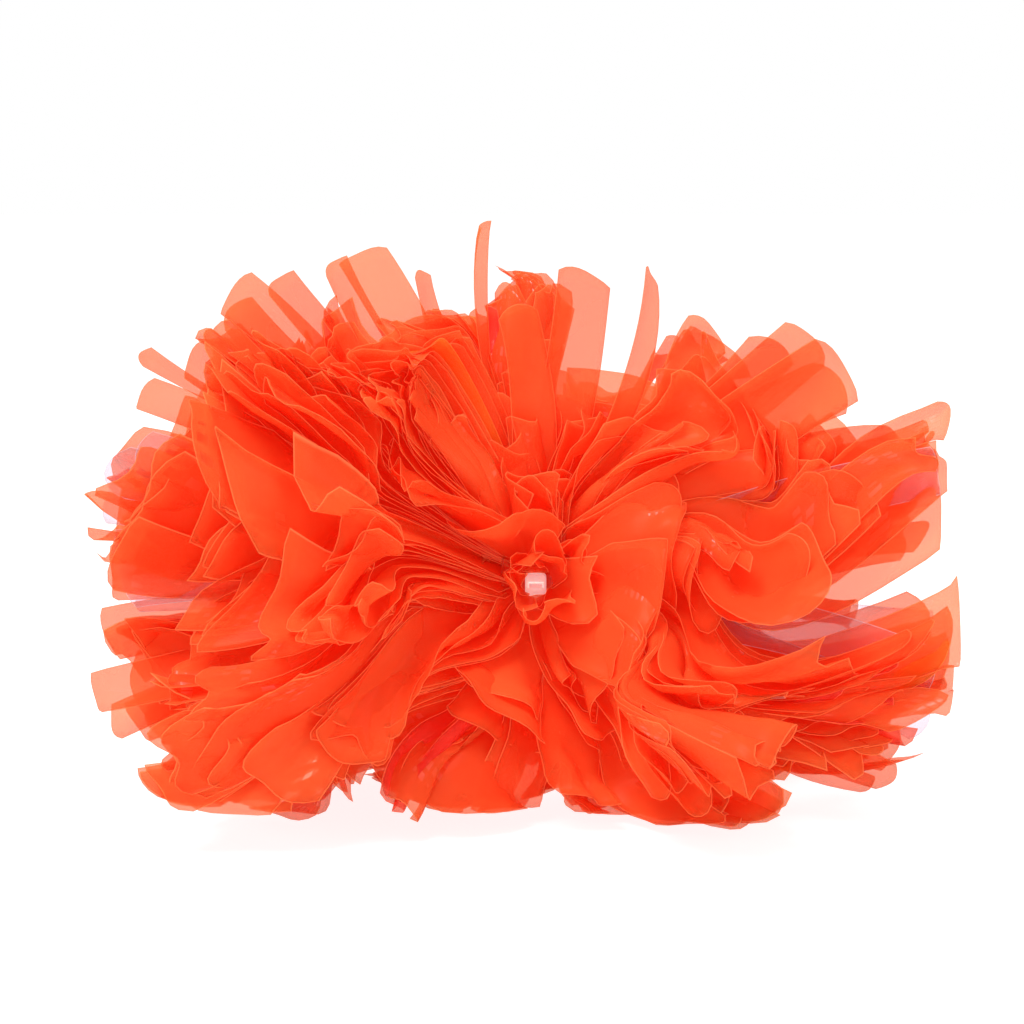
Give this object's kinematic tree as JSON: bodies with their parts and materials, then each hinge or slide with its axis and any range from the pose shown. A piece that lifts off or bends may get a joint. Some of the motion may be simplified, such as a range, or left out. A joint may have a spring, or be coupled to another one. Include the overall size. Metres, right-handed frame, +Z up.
{
  "type": "cheer pom pom",
  "caption": "Fluffed ball of broad neon orange plastic film streamers, tied at its middle with a nylon cable tie, with an oval finger ring at the back.",
  "frame": {"origin": "on the floor, under the middle of the whole's box", "axes": "+Z up; X along the streamers' long axis, through the tied waist; -Y the front, where the tie's head is, and +Y the back, where the ring is"},
  "size_m": [0.301, 0.193, 0.2102],
  "materials": {
    "orange_film": "glossy thin film",
    "clear_film": "clear film with a faint lilac sheen",
    "film_waist": "glossy thin film",
    "tie_nylon": "satin",
    "ring_plastic": "satin"
  },
  "bodies": {
    "core": {"sheet_waist": "film_waist", "cable_tie": "tie_nylon"},
    "ring": {"ring_handle": "ring_plastic"},
    "left_end": {"left_end_streamers_upper": "orange_film", "left_end_streamers_clear": "clear_film", "left_end_streamers_lower": "orange_film"},
    "left_top": {"left_top_streamers_outer": "orange_film", "left_top_streamers_middle": "orange_film", "left_top_streamers_inner": "orange_film"},
    "left_front_top": {"left_front_top_streamers_outer": "orange_film", "left_front_top_streamers_middle": "orange_film", "left_front_top_streamers_inner": "orange_film"},
    "left_front_low": {"left_front_low_streamers_outer": "orange_film", "left_front_low_streamers_middle": "orange_film", "left_front_low_streamers_inner": "orange_film"},
    "left_bottom": {"left_bottom_streamers_outer": "orange_film", "left_bottom_streamers_middle": "orange_film", "left_bottom_streamers_inner": "orange_film"},
    "left_back_low": {"left_back_low_streamers_outer": "orange_film"},
    "left_back_top": {"left_back_top_streamers_outer": "orange_film"},
    "right_end": {"right_end_streamers_upper": "orange_film", "right_end_streamers_clear": "clear_film", "right_end_streamers_lower": "orange_film"},
    "right_top": {"right_top_streamers_outer": "orange_film", "right_top_streamers_middle": "orange_film", "right_top_streamers_inner": "orange_film"},
    "right_front_top": {"right_front_top_streamers_outer": "orange_film", "right_front_top_streamers_middle": "orange_film", "right_front_top_streamers_inner": "orange_film"},
    "right_front_low": {"right_front_low_streamers_outer": "orange_film", "right_front_low_streamers_middle": "orange_film", "right_front_low_streamers_inner": "orange_film"},
    "right_bottom": {"right_bottom_streamers_outer": "orange_film", "right_bottom_streamers_middle": "orange_film", "right_bottom_streamers_inner": "orange_film"},
    "right_back_low": {"right_back_low_streamers_outer": "orange_film"},
    "right_back_top": {"right_back_top_streamers_outer": "orange_film"}
  },
  "joints": [
    {"name": "ring_swing", "type": "hinge", "parent": "core", "child": "ring", "pos_m": [0.0085, 0.03072, 0.081], "axis": [1, 0, 0], "range_deg": [-45, 45]},
    {"name": "left_end_nod", "type": "hinge", "parent": "core", "child": "left_end", "pos_m": [0.0015, 0.01682, 0.081], "axis": [0, 1, 0], "range_deg": [-6, 6], "stiffness_Nm_per_rad": 0.3},
    {"name": "left_top_sway", "type": "hinge", "parent": "core", "child": "left_top", "pos_m": [0.0085, 0.01682, 0.081], "axis": [1, 0, 0], "range_deg": [-8, 8], "stiffness_Nm_per_rad": 0.3},
    {"name": "left_front_top_sway", "type": "hinge", "parent": "core", "child": "left_front_top", "pos_m": [0.0085, 0.01682, 0.081], "axis": [1, 0, 0], "range_deg": [-8, 8], "stiffness_Nm_per_rad": 0.3},
    {"name": "left_front_low_sway", "type": "hinge", "parent": "core", "child": "left_front_low", "pos_m": [0.0085, 0.01682, 0.081], "axis": [1, 0, 0], "range_deg": [-8, 8], "stiffness_Nm_per_rad": 0.3},
    {"name": "left_bottom_sway", "type": "hinge", "parent": "core", "child": "left_bottom", "pos_m": [0.0085, 0.01682, 0.081], "axis": [1, 0, 0], "range_deg": [-8, 8], "stiffness_Nm_per_rad": 0.3},
    {"name": "left_back_low_sway", "type": "hinge", "parent": "core", "child": "left_back_low", "pos_m": [0.0085, 0.01682, 0.081], "axis": [1, 0, 0], "range_deg": [-8, 8], "stiffness_Nm_per_rad": 0.3},
    {"name": "left_back_top_sway", "type": "hinge", "parent": "core", "child": "left_back_top", "pos_m": [0.0085, 0.01682, 0.081], "axis": [1, 0, 0], "range_deg": [-8, 8], "stiffness_Nm_per_rad": 0.3},
    {"name": "right_end_nod", "type": "hinge", "parent": "core", "child": "right_end", "pos_m": [0.0155, 0.01682, 0.081], "axis": [0, 1, 0], "range_deg": [-6, 6], "stiffness_Nm_per_rad": 0.3},
    {"name": "right_top_sway", "type": "hinge", "parent": "core", "child": "right_top", "pos_m": [0.0085, 0.01682, 0.081], "axis": [1, 0, 0], "range_deg": [-8, 8], "stiffness_Nm_per_rad": 0.3},
    {"name": "right_front_top_sway", "type": "hinge", "parent": "core", "child": "right_front_top", "pos_m": [0.0085, 0.01682, 0.081], "axis": [1, 0, 0], "range_deg": [-8, 8], "stiffness_Nm_per_rad": 0.3},
    {"name": "right_front_low_sway", "type": "hinge", "parent": "core", "child": "right_front_low", "pos_m": [0.0085, 0.01682, 0.081], "axis": [1, 0, 0], "range_deg": [-8, 8], "stiffness_Nm_per_rad": 0.3},
    {"name": "right_bottom_sway", "type": "hinge", "parent": "core", "child": "right_bottom", "pos_m": [0.0085, 0.01682, 0.081], "axis": [1, 0, 0], "range_deg": [-8, 8], "stiffness_Nm_per_rad": 0.3},
    {"name": "right_back_low_sway", "type": "hinge", "parent": "core", "child": "right_back_low", "pos_m": [0.0085, 0.01682, 0.081], "axis": [1, 0, 0], "range_deg": [-8, 8], "stiffness_Nm_per_rad": 0.3},
    {"name": "right_back_top_sway", "type": "hinge", "parent": "core", "child": "right_back_top", "pos_m": [0.0085, 0.01682, 0.081], "axis": [1, 0, 0], "range_deg": [-8, 8], "stiffness_Nm_per_rad": 0.3}
  ]
}
